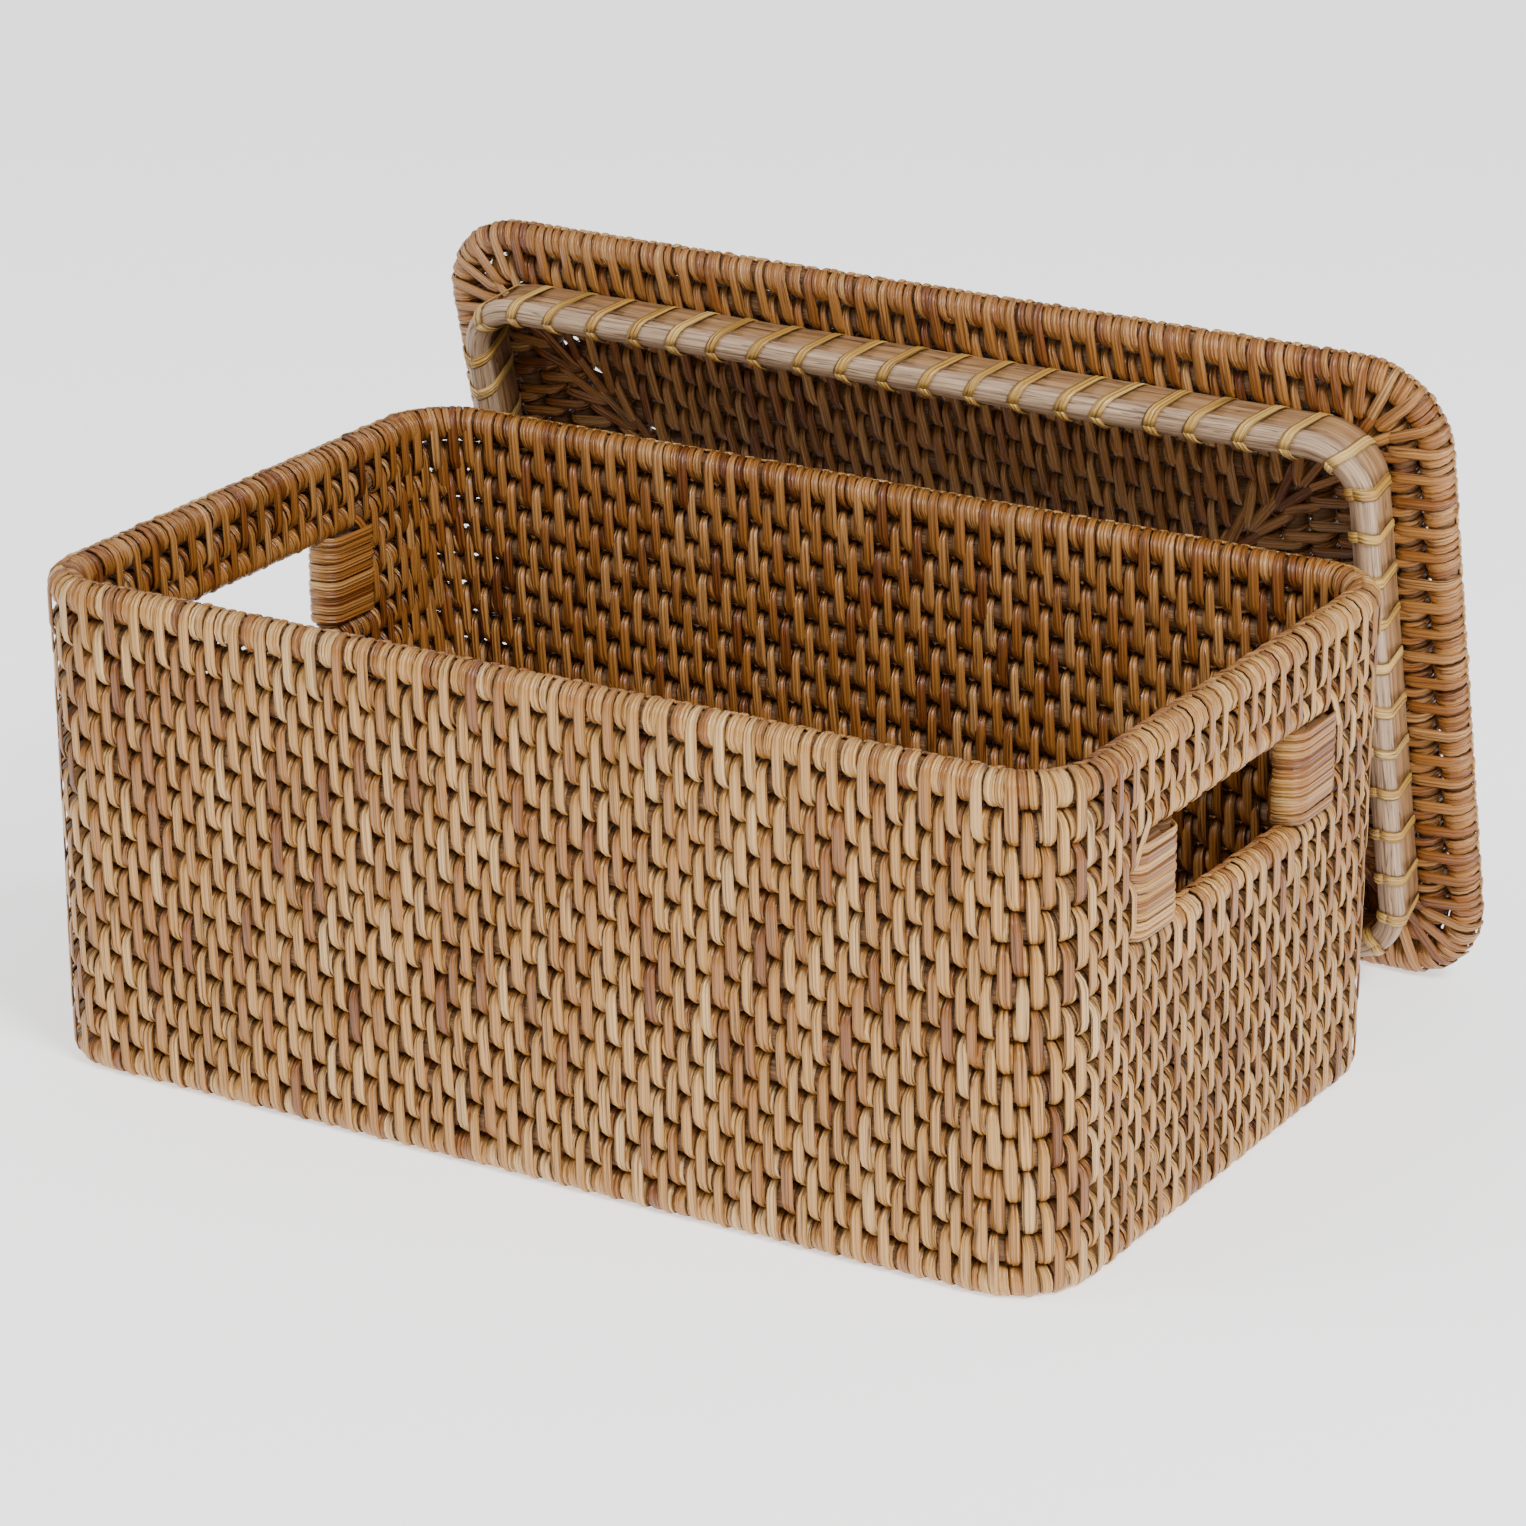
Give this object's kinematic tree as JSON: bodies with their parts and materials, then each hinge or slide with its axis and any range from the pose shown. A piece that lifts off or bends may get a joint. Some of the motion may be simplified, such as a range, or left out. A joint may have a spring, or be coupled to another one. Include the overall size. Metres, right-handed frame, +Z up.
{
  "type": "lidded wicker basket",
  "caption": "Rectangular wicker storage basket of bound round rods, with a hand opening in each end wall and a loose lid that stands behind it, leaning on the rim.",
  "frame": {"origin": "on the floor under the middle of the basket", "axes": "+Z up, +X to the basket's right end, -Y to its front long wall"},
  "size_m": [0.457, 0.3683, 0.276],
  "materials": {
    "peel_binding": "satin split rattan peel",
    "rattan_core": "dry round rattan",
    "pale_rod": "dry, streaky round rattan",
    "cane_band": "dry flat cane",
    "lashing_strip": "glossy split rattan peel"
  },
  "bodies": {
    "basket": {"base_binding_1": "peel_binding", "base_binding_10": "peel_binding", "base_binding_2": "peel_binding", "base_binding_3": "peel_binding", "base_binding_4": "peel_binding", "base_binding_5": "peel_binding", "base_binding_6": "peel_binding", "base_binding_7": "peel_binding", "base_binding_8": "peel_binding", "base_binding_9": "peel_binding", "base_cores": "rattan_core", "base_middle_binding": "peel_binding", "foot_binding": "peel_binding", "handle_post_rod_front_left": "rattan_core", "handle_post_rod_front_right": "rattan_core", "handle_post_rod_rear_left": "rattan_core", "handle_post_rod_rear_right": "rattan_core", "handle_post_winding_front_left": "peel_binding", "handle_post_winding_front_right": "peel_binding", "handle_post_winding_rear_left": "peel_binding", "handle_post_winding_rear_right": "peel_binding", "rim_binding": "peel_binding", "rim_core": "rattan_core", "wall_binding_02": "peel_binding", "wall_binding_03": "peel_binding", "wall_binding_04": "peel_binding", "wall_binding_05": "peel_binding", "wall_binding_06": "peel_binding", "wall_binding_07": "peel_binding", "wall_binding_08": "peel_binding", "wall_binding_09": "peel_binding", "wall_binding_10": "peel_binding", "wall_binding_11": "peel_binding", "wall_binding_12": "peel_binding", "wall_binding_13": "peel_binding", "wall_binding_14": "peel_binding", "wall_binding_15": "peel_binding", "wall_cores": "rattan_core"},
    "lid": {"lid_binding_1": "peel_binding", "lid_binding_10": "peel_binding", "lid_binding_2": "peel_binding", "lid_binding_3": "peel_binding", "lid_binding_4": "peel_binding", "lid_binding_5": "peel_binding", "lid_binding_6": "peel_binding", "lid_binding_7": "peel_binding", "lid_binding_8": "peel_binding", "lid_binding_9": "peel_binding", "lid_border_binding": "peel_binding", "lid_border_core": "rattan_core", "lid_cores": "rattan_core", "lid_middle_binding": "peel_binding", "lid_ring_band": "cane_band", "lid_ring_lashings": "lashing_strip", "lid_ring_rod": "pale_rod"}
  },
  "joints": [
    {"name": "lid_lift", "type": "slide", "parent": "basket", "child": "lid", "axis": [0, 0, 1], "range_m": [0, 0.3]}
  ]
}
